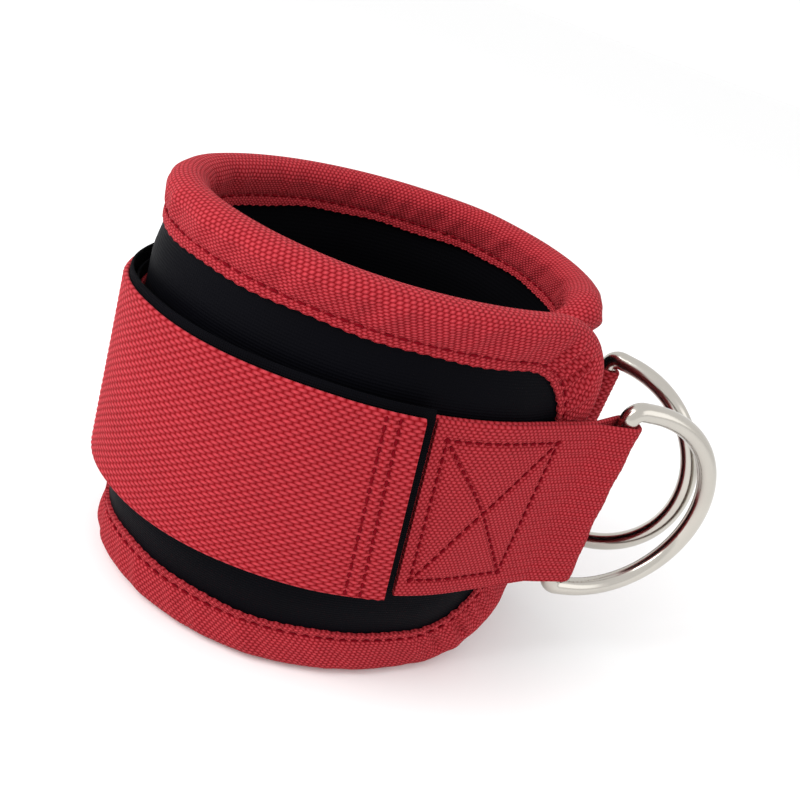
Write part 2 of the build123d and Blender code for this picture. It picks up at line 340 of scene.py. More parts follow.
thread_red = plain("red_thread", (0.17, 0.002, 0.007), 0.8, 300.0, 0.05, specular=0.04)
foam_grey = plain("grey_foam", (0.16, 0.16, 0.17), 0.95, 200.0, 0.3)
nickel = plain("nickel", (0.56, 0.53, 0.48), 0.20, 90.0, 0.004, 1.0)
print("made", len(bpy.data.materials), "materials")

# %% [markdown]
# ## Mesh helpers
# Every cloth piece here is a closed skin of quads. A grid makes it quick to build and keeps the
# cloth attribute exact. Edges sharper than 40 degrees are marked, so cut ends stay crisp while the
# faces stay smooth.

# %% Mesh helpers
SHARP = math.radians(40)


def make_mesh(name, points, faces, cloth, material, domain="POINT"):
    """A closed mesh with outward normals, carrying its millimetres along and across the cloth."""
    mesh = bpy.data.meshes.new(name)
    mesh.from_pydata(points.reshape(-1, 3).tolist(), [], faces)
    data = mesh.attributes.new("cloth", "FLOAT_VECTOR", domain)
    data.data.foreach_set("vector", cloth.reshape(-1).astype(np.float32))
    mesh.materials.append(material)
    obj = bpy.data.objects.new(name, mesh)
    bpy.context.collection.objects.link(obj)
    turn_outward(obj)
    return obj


def turn_outward(obj):
    """Turn the faces outward and shade them smooth, except across sharp edges."""
    bm = bmesh.new()
    bm.from_mesh(obj.data)
    bmesh.ops.recalc_face_normals(bm, faces=bm.faces)
    bm.to_mesh(obj.data)
    bm.free()
    obj.data.shade_smooth()
    obj.data.set_sharp_from_angle(angle=SHARP)


def report(obj):
    obj.data.calc_loop_triangles()
    print(f"{obj.name}: {len(obj.data.loop_triangles)} triangles")


def ease(x):
    """A smooth step from 0 to 1."""
    x = np.clip(x, 0.0, 1.0)
    return x * x * (3 - 2 * x)


# %% [markdown]
# ## Foam, cover and lining
# The pad is a foam sheet between a cover and a lining. The cover is held down under the tape and
# swells between its edges, so its face rises from the tape's lip over a few millimetres. A cloth
# simulation could swell it. The swell is written as a height instead, because the curled pad must
# keep its exact thickness under the straps.

# %% The pad's slabs
FOAM_INSET, FOAM_HALF, FOAM_ROUND = 2.4, 3.0, 4.0
COVER_INSET, COVER_BACK = 6.5, 3.08
HELD_DOWN, LIP_RISE, MIDDLE_RISE = 3.15, 0.55, 1.35


def border(grid):
    """The indices round the edge of a grid, in order."""
    return np.concatenate([grid[0, :-1], grid[:-1, -1], grid[-1, :0:-1], grid[:0:-1, 0]])


def slab(name, inset, corner, outer, inner, material, step=1.6):
    """A closed slab with rounded corners; outer and inner give its two faces, in millimetres out."""
    rows = int((PAD_HEIGHT - 2 * inset) / step)
    columns = int(pad.length / step)
    z = np.linspace(inset, PAD_HEIGHT - inset, rows)
    edge = np.minimum(z - inset, PAD_HEIGHT - inset - z)
    rise = np.clip(corner - edge, 0, corner)
    cut = corner - np.sqrt(corner ** 2 - rise ** 2)
    x = np.linspace(0, 1, columns)
    s = (inset + cut)[:, None] + (pad.length - 2 * inset - 2 * cut)[:, None] * x[None, :]
    zz = np.broadcast_to(z[:, None], s.shape)
    rim = np.minimum(np.minimum(s - s[:, :1], s[:, -1:] - s), edge[:, None])
    faces_out = [outer(s, zz, rim), inner(s, zz, rim)]
    points = np.stack([pad.wrap(s, out, zz) for out in faces_out])
    cloth = np.stack([np.stack([s, zz, 0 * s], -1)] * 2)
    index = np.arange(2 * rows * columns).reshape(2, rows, columns)
    faces = []
    for layer, flip in ((0, False), (1, True)):
        g = index[layer]
        quads = np.stack([g[:-1, :-1], g[:-1, 1:], g[1:, 1:], g[1:, :-1]], -1).reshape(-1, 4)
        faces += (quads[:, ::-1] if flip else quads).tolist()
    a, b = border(index[0]), border(index[1])
    faces += np.stack([a, b, np.roll(b, -1), np.roll(a, -1)], -1).tolist()
    return make_mesh(name, points, faces, cloth, material)


def swell(s, z):
    """How far the cover rises between the lips of the tape."""
    half_long = pad.length / 2 - LIP_END - LIP_CORNER
    half_tall = (PAD_HEIGHT - LIP_TOP - LIP_BOTTOM) / 2 - LIP_CORNER
    past_s = np.abs(s - pad.length / 2) - half_long
    past_z = np.abs(z - (PAD_HEIGHT - LIP_TOP + LIP_BOTTOM) / 2) - half_tall
    outside = np.hypot(np.maximum(past_s, 0), np.maximum(past_z, 0))
    to_lip = LIP_CORNER - outside - np.minimum(np.maximum(past_s, past_z), 0)
    return HELD_DOWN + LIP_RISE * ease((to_lip + 3.0) / 3.5) + MIDDLE_RISE * ease(to_lip / 10.0)


def lining_folds(s, z):
    """Soft upright folds where the curl squeezes the lining."""
    strength = ease(np.minimum(z - LIP_BOTTOM, PAD_HEIGHT - LIP_TOP - z) / 14)
    return strength * (0.28 * np.sin(s / 7.3 + 0.02 * z) + 0.18 * np.sin(s / 3.9 + 0.05 * z + 1.0))


def foam_face(side):
    """One face of the foam, rounded off over the last few millimetres to its rim."""
    return lambda s, z, rim: side * FOAM_HALF * np.sqrt(
        1 - (1 - np.clip(rim / FOAM_ROUND, 0.02, 1)) ** 2)


foam = slab("pad_foam", FOAM_INSET, PAD_CORNER - FOAM_INSET, foam_face(1), foam_face(-1),
            foam_grey, step=3.0)
cover = slab("outer_cover_cloth", COVER_INSET, PAD_CORNER - COVER_INSET,
             lambda s, z, rim: swell(s, z) + 0.06 * np.sin(s / 9.0 + z / 13.0),
             lambda s, z, rim: COVER_BACK + 0 * s, cover_black)
lining = slab("inner_lining_cloth", COVER_INSET, PAD_CORNER - COVER_INSET,
              lambda s, z, rim: -COVER_BACK + 0 * s,
              lambda s, z, rim: -(swell(s, z) - 0.25 + lining_folds(s, z)), lining_black)
for piece, node, name in ((foam, "foam_core", "foam"), (cover, "outer_cover", "black_neoprene"),
                          (lining, "inner_lining", "black_lining")):
    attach(piece, "cuff")
    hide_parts(node)
    report(piece)

# %% [markdown]
# ## The binding
# One woven tape is folded over all four edges and sewn 2.5 mm from its lips. The thread pulls it
# down, so the tape puffs between the seam and the rim, dimples at every stitch, and gathers at the
# corners. A profile swept round the rim makes all of this in one skin.

# %% Outlines of the rim and of the lip
def rounded_outline(ends, bottom, top, radius, counts):
    """Points round a rounded rectangle, with given numbers of points on its eight runs."""
    s0, s1, z0, z1 = ends, pad.length - ends, bottom, PAD_HEIGHT - top
    centres = [(s1 - radius, z0 + radius), (s1 - radius, z1 - radius),
               (s0 + radius, z1 - radius), (s0 + radius, z0 + radius)]
    points = []
    for i, (cx, cz) in enumerate(centres):
        before = centres[i - 1]
        start = math.radians(-90 + 90 * i)
        leave = (before[0] + radius * math.cos(start), before[1] + radius * math.sin(start))
        arrive = (cx + radius * math.cos(start), cz + radius * math.sin(start))
        f = np.arange(counts[2 * i])[:, None] / counts[2 * i]
        points.append(np.array(leave) * (1 - f) + np.array(arrive) * f)
        angle = start + np.arange(counts[2 * i + 1]) / counts[2 * i + 1] * math.pi / 2
        points.append(np.stack([cx + radius * np.cos(angle), cz + radius * np.sin(angle)], -1))
    return np.concatenate(points)


STEP = 0.95
long_run = int((pad.length - 2 * PAD_CORNER) / STEP)
short_run = int((PAD_HEIGHT - 2 * PAD_CORNER) / STEP)
corner_run = int(PAD_CORNER * math.pi / 2 / STEP)
COUNTS = [long_run, corner_run, short_run, corner_run] * 2
rim = rounded_outline(0, 0, 0, PAD_CORNER, COUNTS)
lip = rounded_outline(LIP_END, LIP_BOTTOM, LIP_TOP, LIP_CORNER, COUNTS)
rim_steps = np.linalg.norm(np.diff(rim, axis=0, append=rim[:1]), axis=1)
around = np.concatenate([[0], np.cumsum(rim_steps)])
in_corner = np.concatenate([np.full(n, i % 2) * np.sin(np.pi * np.arange(n) / n) ** 0.5
                            for i, n in enumerate(COUNTS)])
print("the tape runs", round(float(around[-1])), "mm round the pad, in", len(rim), "steps")

# %% The tape
SEAM_INSET, SEAM_PITCH = 2.5, 3.2
TAPE_THICK, RIM_ROUND = 0.85, 4.8
STITCHES = round(float(around[-1]) / SEAM_PITCH)
GROOVE = 4.3
PUFF, PUFF_UNDER_STRAP = 4.95, 4.75


def waves(u, terms, total):
    """A smooth uneven line that closes on itself; each term is (cycles, size, phase)."""
    return sum(size * np.sin(2 * math.pi * cycles * u / total + phase)
               for cycles, size, phase in terms)


def tape_profile(side):
    """Distance in from the rim and outward distance of the tape's face, one row per outline point."""
    total = around[-1]
    u = around[:-1, None]
    width = np.linalg.norm(lip - rim, axis=1)[:, None]
    under_strap = ((rim[:, 0] < 6) | (rim[:, 0] > pad.length - 6))[:, None]
    peak = np.where(under_strap, PUFF_UNDER_STRAP, PUFF)
    angle = np.linspace(0, math.pi / 2, 11)[None, :-1]
    d_round = RIM_ROUND * (1 - np.cos(angle)) + 0 * u
    o_round = peak * np.sin(angle)
    f = np.linspace(0, 1, 22)[None, :]
    d_flat = RIM_ROUND + (width - RIM_ROUND) * f
    to_seam = np.clip((d_flat - RIM_ROUND) / (width - SEAM_INSET - RIM_ROUND), 0, 1)
    o_flat = peak + (GROOVE - peak) * to_seam ** 2.2
    off_seam = d_flat - (width - SEAM_INSET)
    o_flat = o_flat + np.where(off_seam > 0, 0.22 * ease(off_seam / 1.6), 0)
    stitch = 0.5 + 0.5 * np.cos(2 * math.pi * STITCHES * u / total)
    o_flat = o_flat - (0.14 + 0.42 * stitch) * np.exp(-(off_seam / 0.85) ** 2)
    d = np.concatenate([d_round, d_flat], 1)
    o = np.concatenate([o_round, o_flat], 1)
    inward = np.clip(d / width, 0, 1)
    corner = in_corner[:, None]
    gathers = waves(u, ((STITCHES // 2, 0.17, 0.4), (STITCHES // 3, 0.22, 2.0),
                        (53, 0.20, side), (31, 0.16, 2 * side)), total)
    o = o + np.sin(math.pi * inward) ** 1.5 * gathers * (1 + 2.0 * corner) * (1 - 0.75 * under_strap)
    pleats = 0.75 * corner * np.cos(2 * math.pi * (STITCHES * 3 // 4) * u / total)
    o = o + pleats * ease((inward - 0.2) / 0.3) * ease((1.05 - inward) / 0.3)
    # The tape never sinks into the cover that it holds
    rest = 3.65 + 0.35 * ease((d - width + SEAM_INSET) / 1.5)
    o = np.where(inward > 0.35, np.maximum(o, rest), o)
    wander = waves(u, ((11, 0.30, side), (29, 0.22, 1.3), (STITCHES, 0.22, 0.2)), total)
    d = d + inward ** 4 * wander
    return d, side * o, width


def tape_rows():
    """The tape's face from the inner lip over the rim to the outer lip, and its hidden back."""
    d_in, o_in, width = tape_profile(-1)
    d_out, o_out, _ = tape_profile(1)
    d = np.concatenate([d_in[:, :0:-1], d_out], 1)
    o = np.concatenate([o_in[:, :0:-1], o_out], 1)
    dd, do = np.gradient(d, axis=1), np.gradient(o, axis=1)
    size = np.hypot(dd, do) + 1e-9
    back_d, back_o = d + TAPE_THICK * do / size, o - TAPE_THICK * dd / size
    return d, o, back_d, back_o, width


d, o, back_d, back_o, width = tape_rows()
across = np.concatenate([[0], np.cumsum(np.hypot(np.diff(d[5]), np.diff(o[5])))])
across -= across[len(across) // 2]
ring_d = np.concatenate([d, back_d[:, ::-2]], 1)
ring_o = np.concatenate([o, back_o[:, ::-2]], 1)
ring_v = np.concatenate([across, across[::-2]])
flat_place = rim[:, None, :] + (lip - rim)[:, None, :] * (ring_d / width)[:, :, None]
points = pad.wrap(flat_place[..., 0], ring_o, flat_place[..., 1])
K, M = ring_d.shape
index = np.arange(K * M).reshape(K, M)
nxt = np.roll(index, -1, axis=0)
faces = np.stack([index, np.roll(index, -1, 1), np.roll(nxt, -1, 1), nxt], -1).reshape(-1, 4)
u_low = np.broadcast_to(around[:-1, None], (K, M))
u_high = np.broadcast_to(around[1:, None], (K, M))
v_low = np.broadcast_to(ring_v, (K, M))
v_high = np.roll(v_low, -1, axis=1)
corner_u = np.stack([u_low, u_low, u_high, u_high], -1)
corner_v = np.stack([v_low, v_high, v_high, v_low], -1)
# The distance along is kept per face corner, so the weave closes cleanly where the tape meets itself
corner_cloth = np.stack([corner_u, corner_v, 0 * corner_u], -1)
tape = make_mesh("edge_binding_tape", points, faces.tolist(), corner_cloth, binding_red, "CORNER")
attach(tape, "cuff")
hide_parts("edge_binding")
report(tape)

# %% [markdown]
# ## Straps
# A strap is a closed strip that follows a line. The line is drawn in the flat cuff, along and
# outward, so a strap that folds round a ring's bar is still one strip. On the tail and the rear
# strap the outer face has three rows of points to each row of the weave, which lets Geometry Nodes
# raise every crown for real. The sewn front strap is a finer weave, too fine to raise in the mesh,
# so its weave is only in its material.

# %% Lines for the straps
def even_line(points, fine, coarse, coarse_from=None, soften=0.7):
    """A line through the points at even steps, gently rounded; longer steps where it is hidden."""
    points = np.array(points, float)
    reach = np.concatenate([[0], np.cumsum(np.hypot(*np.diff(points, axis=0).T))])
    small = 0.2
    t = np.arange(0, reach[-1], small)
    line = np.stack([np.interp(t, reach, points[:, i]) for i in (0, 1)], -1)
    kernel = np.exp(-0.5 * (np.arange(-15, 16) * small / soften) ** 2)
    kernel /= kernel.sum()
    padded = np.concatenate([2 * line[:1] - line[15:0:-1], line, 2 * line[-1:] - line[-2:-17:-1]])
    line = np.stack([np.convolve(padded[:, i], kernel, "valid") for i in (0, 1)], -1)
    low, high = coarse_from if coarse_from else (reach[-1] + 1, reach[-1] + 1)
    stations = [0.0]
    while stations[-1] < t[-1]:
        stations.append(stations[-1] + (coarse if low <= stations[-1] < high else fine))
    stations[-1] = t[-1]
    stations = np.array(stations)
    path = np.stack([np.interp(stations, t, line[:, i]) for i in (0, 1)], -1)
    return path, stations


def loop_points(bar_s, bar_out, side):
    """Points of a strap's middle round a ring's bar, from its outer layer back to its inner one."""
    radius = WIRE + 0.1 + STRAP / 2
    apart = (STRAP + AIR) / 2
    far = math.hypot(LOOP_MEET, apart)
    lift = math.atan2(apart, LOOP_MEET) + math.acos(radius / far)
    angles = np.linspace(lift, 2 * math.pi - lift, 40)
    return [(bar_s + side * radius * math.cos(a), bar_out + radius * math.sin(a)) for a in angles]


front_turn = loop_points(0.0, FRONT_BAR_OUT, 1)
rear_turn = loop_points(tail.length, REAR_BAR_OUT, -1)
front_line = [(FOLD_END, FOLD_MID), (LOOP_MEET, FOLD_MID)] + front_turn
front_line += [(LOOP_MEET, BASE_MID), (strap.length - REAR_BAR_REACH, BASE_MID)]
ROOT_LENGTH = 62.0
ROOT_START = REAR_MEET - ROOT_LENGTH
rear_line = [(ROOT_START, ROOT_MID), (REAR_MEET, ROOT_MID)] + rear_turn[::-1]
rear_line += [(REAR_MEET, TAIL_MID), (MID_TAIL, TAIL_MID)]
end_line = [(MID_TAIL, TAIL_MID), (TIP, TAIL_MID)]
print("a loop's line has", len(front_turn), "points round its bar")

# %% Strips
FINE_ALONG, FINE_ACROSS, HIDDEN_STEP = WEB_PITCH / 5, WEB_ROW / 3, 2.4
BACK_POINTS = 14


def near_rows(s, z, rows):
    """Distance from each point to the nearest row of thread, in millimetres."""
    nearest = np.full(np.broadcast(s, z).shape, 99.0)
    for (s0, z0), (s1, z1) in rows:
        dx, dz = s1 - s0, z1 - z0
        t = np.clip(((s - s0) * dx + (z - z0) * dz) / (dx * dx + dz * dz), 0, 1)
        nearest = np.minimum(nearest, np.hypot(s - s0 - t * dx, z - z0 - t * dz))
    return nearest


TIP_LEAN, LOOP_SLACK = 2.8, 1.9
# Each fall of the straps on the left is its depth, where it starts and how long it takes
FALLS = ((2.0, 75.0, 45.0), (2.5, 118.0, 32.0))
RISE_FROM, RISE_LENGTH = 185.0, 45.0


def lean(s, z):
    """How far the tail's tip leans: its cut end is further back at the top than at the bottom."""
    return TIP_LEAN * (z - TAIL_MIDDLE) / (STRAP_WIDTH / 2) * (1 - ease((s - TIP) / 30.0))


def fold_lean(s, z):
    """The folded end of the sewn strap leans with the tail's tip, and its ring end does not."""
    slack = -LOOP_SLACK * ease((STRAP_MIDDLE - z) / 25.0) + 0.22 * np.sin(z / 1.9)
    return lean(s, z) * ease((s - 34.0) / 14.0) + slack * (1 - ease((s - 1.0) / 9.0))


def settle(s):
    """How far the straps sit down on the left, where the closed tail pulls them."""
    down = sum(depth * ease((s - begin) / length) for depth, begin, length in FALLS)
    return -down * (1 - ease((s - RISE_FROM) / RISE_LENGTH))


def strip(name, walk, line, middle, width, thick, material, raise_by=None, coarse_from=None,
          fine=FINE_ALONG, across=FINE_ACROSS, shift=None, slim=0.0):
    """A closed strip along a line. raise_by(s, z) lifts its outer face, shift(s, z) slides it, and
    slim narrows it where another tape covers it."""
    path, stations = even_line(line, fine, HIDDEN_STEP, coarse_from)
    ahead = np.gradient(path, stations, axis=0)
    ahead /= np.linalg.norm(ahead, axis=1)[:, None]
    normal = np.stack([ahead[:, 1], -ahead[:, 0]], -1)
    half = width / 2
    roll = thick / 2
    face_z = np.linspace(-half + roll, half - roll, int((width - 2 * roll) / across) + 1)
    angle = np.linspace(0, math.pi, 7)[1:-1]
    back_z = np.linspace(half - roll, -half + roll, BACK_POINTS)
    z = np.concatenate([face_z, half - roll + roll * np.sin(angle), back_z,
                        -half + roll - roll * np.sin(angle)])
    n = np.concatenate([np.full(len(face_z), roll), roll * np.cos(angle),
                        np.full(BACK_POINTS, -roll), -roll * np.cos(angle)])
    on_face = np.concatenate([np.ones(len(face_z)), np.zeros(len(z) - len(face_z))])
    lift = n[None, :] + np.zeros((len(path), 1))
    zz = middle + z[None, :] * (1 - slim * ease((path[:, :1] - TIP) / 12.0))
    if raise_by is not None:
        outside = (normal[:, 1] > 0.9)[:, None] & (on_face > 0)[None, :]
        lift = lift + np.where(outside, raise_by(path[:, :1] + 0 * lift, zz), 0)
    s = path[:, :1] + normal[:, :1] * lift
    out = path[:, 1:] + normal[:, 1:] * lift
    if shift is not None:
        s = s + shift(s, zz)
    fade = on_face * ease((half - np.abs(z)) / 0.6)
    steps = np.diff(stations, append=stations[-1] + fine)
    small = (steps < 1.0)[:, None]
    ends = np.minimum(stations, stations[-1] - stations)
    relief = fade[None, :] * small * np.where(ends < 0.3, 0, 1)[:, None]
    # The weave counts along the walk, so that two strips which meet share one pattern
    along = stations + (line[0][0] if line[-1][0] > line[0][0] else -line[0][0])
    along = np.broadcast_to(along[:, None], lift.shape)
    cloth = np.stack([along, zz - middle + half, relief], -1)
    rows, ring = lift.shape
    index = np.arange(rows * ring).reshape(rows, ring)
    here, ahead_of = index[:-1], index[1:]
    quads = np.stack([here, np.roll(here, -1, 1), np.roll(ahead_of, -1, 1), ahead_of], -1)
    faces = quads.reshape(-1, 4).tolist()
    faces += [index[0].tolist(), index[-1, ::-1].tolist()]
    return make_mesh(name, walk.wrap(s, out, zz + settle(path[:, :1])), faces, cloth, material)


# %% [markdown]
# ## Relief of the weave
# The tree reads each point's place on the cloth, works out the crown there, and moves the point
# along its normal. Sculpting or an image could do it, but this keeps the crowns exactly where the
# material colours them.

# %% The relief tree
WEAVE_HEIGHT, WEAVE_BASE = 0.26, 0.35


def new_tree(name, sizes):
    """An empty Geometry Nodes tree with named number inputs."""
    tree = bpy.data.node_groups.new(name, "GeometryNodeTree")
    tree.interface.new_socket("Geometry", in_out="INPUT", socket_type="NodeSocketGeometry")
    tree.interface.new_socket("Geometry", in_out="OUTPUT", socket_type="NodeSocketGeometry")
    for label, value in sizes.items():
        socket = tree.interface.new_socket(label, in_out="INPUT", socket_type="NodeSocketFloat")
        socket.default_value = value
    return tree, tree.nodes.new("NodeGroupInput"), tree.nodes.new("NodeGroupOutput")


def finish_tree(tree, geometry, end, material):
    """End a tree in Realize Instances and Set Material."""
    real = tree.nodes.new("GeometryNodeRealizeInstances")
    paint = tree.nodes.new("GeometryNodeSetMaterial")
    paint.inputs["Material"].default_value = material
    tree.links.new(geometry, real.inputs[0])
    tree.links.new(real.outputs[0], paint.inputs["Geometry"])
    tree.links.new(paint.outputs[0], end.inputs[0])


def relief_tree(material):
    sizes = {"Height": WEAVE_HEIGHT * MM, "Pitch": WEB_PITCH, "Row": WEB_ROW}
    tree, start, end = new_tree("raise_the_weave", sizes)
    place = tree.nodes.new("GeometryNodeInputNamedAttribute")
    place.data_type = "FLOAT_VECTOR"
    place.inputs["Name"].default_value = "cloth"
    split = tree.nodes.new("ShaderNodeSeparateXYZ")
    tree.links.new(place.outputs["Attribute"], split.inputs[0])
    weave = crowns(tree, split.outputs[0], split.outputs[1],
                   start.outputs["Pitch"], start.outputs["Row"])
    level = calc(tree, "MULTIPLY", calc(tree, "SUBTRACT", weave, WEAVE_BASE), split.outputs[2])
    level = calc(tree, "MULTIPLY", level, start.outputs["Height"])
    normal = tree.nodes.new("GeometryNodeInputNormal")
    scale = tree.nodes.new("ShaderNodeVectorMath")
    scale.operation = "SCALE"
    tree.links.new(normal.outputs[0], scale.inputs[0])
    tree.links.new(level, scale.inputs["Scale"])
    move = tree.nodes.new("GeometryNodeSetPosition")
    tree.links.new(start.outputs["Geometry"], move.inputs["Geometry"])
    tree.links.new(scale.outputs[0], move.inputs["Offset"])
    finish_tree(tree, move.outputs[0], end, material)
    return tree


def apply_tree(obj, tree, sizes):
    """Run a tree on an object, keep the result as its plain mesh, and remove the modifier."""
    modifier = obj.modifiers.new(tree.name, "NODES")
    modifier.node_group = tree
    for item in tree.interface.items_tree:
        if item.item_type == "SOCKET" and item.in_out == "INPUT" and item.name in sizes:
            modifier[item.identifier] = sizes[item.name]
    result = bpy.data.meshes.new_from_object(
        obj.evaluated_get(bpy.context.evaluated_depsgraph_get()))
    obj.modifiers.remove(modifier)
    result.name = obj.name
    obj.data = result
    return obj


weave_relief = relief_tree(webbing_red)
print("inputs:", [i.name for i in weave_relief.interface.items_tree])

# %% [markdown]
# ## Rows of thread
# The stitching lines are settled before the straps, because the thread sinks into them. Each row is
# a pair of ends in the flat cuff.

# %% Rows of thread
BOX_NEAR, BOX_FAR, BOX_HALF = 22.8, 50.8, 20.0
REAR_BOX_NEAR, REAR_BOX_FAR = 10, 34
TIP_ROWS, TIP_ROW_HALF, HEM = (5.2, 8.2), 23.5, 9.5


def box_rows(s0, s1, middle):
    """A sewn square with a cross in it."""
    low, high = middle - BOX_HALF, middle + BOX_HALF
    return [((s0, low), (s0, high)), ((s1, low), (s1, high)), ((s0, low), (s1, low)),
            ((s0, high), (s1, high)), ((s0, low), (s1, high)), ((s0, high), (s1, low))]


front_box = box_rows(BOX_NEAR, BOX_FAR, STRAP_MIDDLE)
rear_box = box_rows(REAR_MEET - REAR_BOX_FAR, REAR_MEET - REAR_BOX_NEAR, TAIL_MIDDLE)
tip_rows = [((TIP + d, TAIL_MIDDLE - TIP_ROW_HALF), (TIP + d, TAIL_MIDDLE + TIP_ROW_HALF))
            for d in TIP_ROWS]


def sunk(rows, depth=0.55):
    """The dip of cloth along rows of thread, about a millimetre to each side."""
    return lambda s, z: -depth * np.exp(-near_rows(s, z, rows) ** 2)


def sewn_surface(s, z):
    """The sewn strap's outer face: thread pulled into it, and soft ribs where it turns the ring."""
    ribs = 0.13 * np.sin(2 * math.pi * z / 2.5) * (1 - ease((s - 16.0) / 12.0))
    return ribs + sunk(front_box)(s, z)


def tail_surface(s, z):
    """The tail's outer face: a doubled hem at the tip, and thread pulled down across it."""
    hem = 0.32 * ease((TIP + HEM + 0.6 - s) / 1.2)
    return hem + sunk(tip_rows, 0.50)(s, z) + 0.05 * np.sin(s / 6.1) * np.sin(z / 8.0)


# %% The straps
front_strap = strip("front_strap_webbing", strap, front_line, STRAP_MIDDLE, STRAP_WIDTH, STRAP,
                    sewn_red, sewn_surface, (FOLD_END + 40.0, 1e4), shift=fold_lean, slim=0.12)
rear_strap = strip("rear_strap_webbing", tail, rear_line, TAIL_MIDDLE, STRAP_WIDTH, STRAP,
                   webbing_red, sunk(rear_box), (-1.0, 50.0))
tail_strap = strip("tail_webbing", tail, end_line, TAIL_MIDDLE, STRAP_WIDTH, STRAP,
                   webbing_red, tail_surface, shift=lean)
for piece in (rear_strap, tail_strap):
    apply_tree(piece, weave_relief, {"Height": WEAVE_HEIGHT * MM})
for piece in (front_strap, rear_strap, tail_strap):
    report(piece)

# %% [markdown]
# ## Hook and loop tapes
# The loop tape is sewn on the strap and the hook tape on the inside of the tail, where it shows as a
# black edge above the tail and past its tip. This edge is set 2 mm up and 2 mm past the tip, so it is
# partly the tape's own edge and partly painted shadow of the tail. They are plain strips with a rough
# black finish.

# %% Hook and loop tapes
# The hook tape stands out 2 mm above and past the tail: partly its own edge, partly painted shadow
HOOK_AND_SHADOW_RAISE, HOOK_AND_SHADOW_PAST_TIP = 2.0, 2.0
pile_line = [(FOLD_END + 0.5, PILE_MID), (strap.length - REAR_BAR_REACH, PILE_MID)]
hook_line = [(BACK_CORNER - 0.3, TAIL_IN - PILE / 2), (TIP - HOOK_AND_SHADOW_PAST_TIP, TAIL_IN - PILE / 2)]
loop_tape = strip("loop_tape_cloth", strap, pile_line, STRAP_MIDDLE, STRAP_WIDTH, PILE, pile_black,
                  fine=1.2, across=2.0, shift=lean)
hook_tape = strip("hook_tape_cloth", tail, hook_line, TAIL_MIDDLE + HOOK_AND_SHADOW_RAISE, STRAP_WIDTH, PILE,
                  pile_black, fine=1.2, across=2.0, shift=lean)
report(loop_tape)
report(hook_tape)

# %% [markdown]
# ## What each strap goes with
# The tail is one piece of cloth that bends in two places. Here the rear strap, the tail and the hook
# tape keep their place as plain meshes and follow no body. The sewn front strap and the loop tape go
# with the cuff, and the CAD pieces that all of them replace are hidden.


for piece, node, name in ((front_strap, "base_webbing", "red_webbing"),
                          (loop_tape, "loop_tape", "black_pile")):
    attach(piece, "cuff")
    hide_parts(node)
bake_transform(rear_strap)
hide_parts("tail_root", "tail_mid")
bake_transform(tail_strap)
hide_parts("tail_end")
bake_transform(hook_tape)
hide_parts("mid_hook_tape", "end_hook_tape")

# %% [markdown]
# ## Stitches
# A stitch is a short bar of thread with rounded ends. Geometry Nodes walk each row, drop one at
# every pitch and turn it along the row, so one tree sews every seam on the cuff.

# %% The stitch tree
def stitch_tree(material):
    sizes = {"Pitch": SEAM_PITCH * MM, "Stitch": 2.3 * MM, "Thread": 0.55 * MM}
    tree, start, end = new_tree("sew_a_row", sizes)
    new = tree.nodes.new
    curve = new("GeometryNodeMeshToCurve")
    tree.links.new(start.outputs["Geometry"], curve.inputs["Mesh"])
    spaced = new("GeometryNodeResampleCurve")
    spaced.mode = "LENGTH"
    tree.links.new(curve.outputs[0], spaced.inputs["Curve"])
    tree.links.new(start.outputs["Pitch"], spaced.inputs["Length"])
    bead = new("GeometryNodeMeshUVSphere")
    bead.inputs["Segments"].default_value = 8
    bead.inputs["Rings"].default_value = 6
    bead.inputs["Radius"].default_value = 0.5
    tangent = new("GeometryNodeInputTangent")
    aim = new("FunctionNodeAlignRotationToVector")
    aim.axis = "X"
    tree.links.new(tangent.outputs[0], aim.inputs["Vector"])
    size = new("ShaderNodeCombineXYZ")
    tree.links.new(start.outputs["Stitch"], size.inputs[0])
    tree.links.new(start.outputs["Thread"], size.inputs[1])
    tree.links.new(start.outputs["Thread"], size.inputs[2])
    place = new("GeometryNodeInstanceOnPoints")
    tree.links.new(spaced.outputs[0], place.inputs["Points"])
    tree.links.new(bead.outputs["Mesh"], place.inputs["Instance"])
    tree.links.new(aim.outputs[0], place.inputs["Rotation"])
    tree.links.new(size.outputs[0], place.inputs["Scale"])
    finish_tree(tree, place.outputs[0], end, material)
    return tree


sewing = stitch_tree(thread_red)


def sew(name, rows, sizes):
    """Sew rows of thread; each row is a list of points in metres."""
    points, edges = [], []
    for row in rows:
        first = len(points)
        points += [tuple(p) for p in row]
        edges += [(i, i + 1) for i in range(first, len(points) - 1)]
    mesh = bpy.data.meshes.new(name)
    mesh.from_pydata(points, edges, [])
    obj = bpy.data.objects.new(name, mesh)
    bpy.context.collection.objects.link(obj)
    apply_tree(obj, sewing, {label: value * MM for label, value in sizes.items()})
    obj.data.shade_smooth()
    report(obj)
    return obj


def flat_rows(walk, rows, out, shift=None):
    """Rows of thread on a strap, curled with it and slid as the strap is."""
    curled = []
    for (s0, z0), (s1, z1) in rows:
        f = np.linspace(0, 1, 60)
        s, z = s0 + (s1 - s0) * f, z0 + (z1 - z0) * f
        curled.append(walk.wrap(s + (shift(s, z) if shift else 0), out, z + settle(s)))
    return curled


# %% Sew every seam
THREAD_SIZES = {"Pitch": 2.6, "Stitch": 1.9, "Thread": 0.75}
SEAM_SIZES = {"Pitch": SEAM_PITCH, "Stitch": 2.3, "Thread": 0.62}
SEAM_SINK, BOX_SINK = 0.12, 0.34


def binding_row(side):
    """The seam's line on one face of the binding, in its groove."""
    inset = 1 - SEAM_INSET / np.linalg.norm(lip - rim, axis=1)
    flat = rim + (lip - rim) * inset[:, None]
    flat = np.concatenate([flat, flat[:1]])
    return [pad.wrap(flat[:, 0], side * (GROOVE - SEAM_SINK), flat[:, 1])]


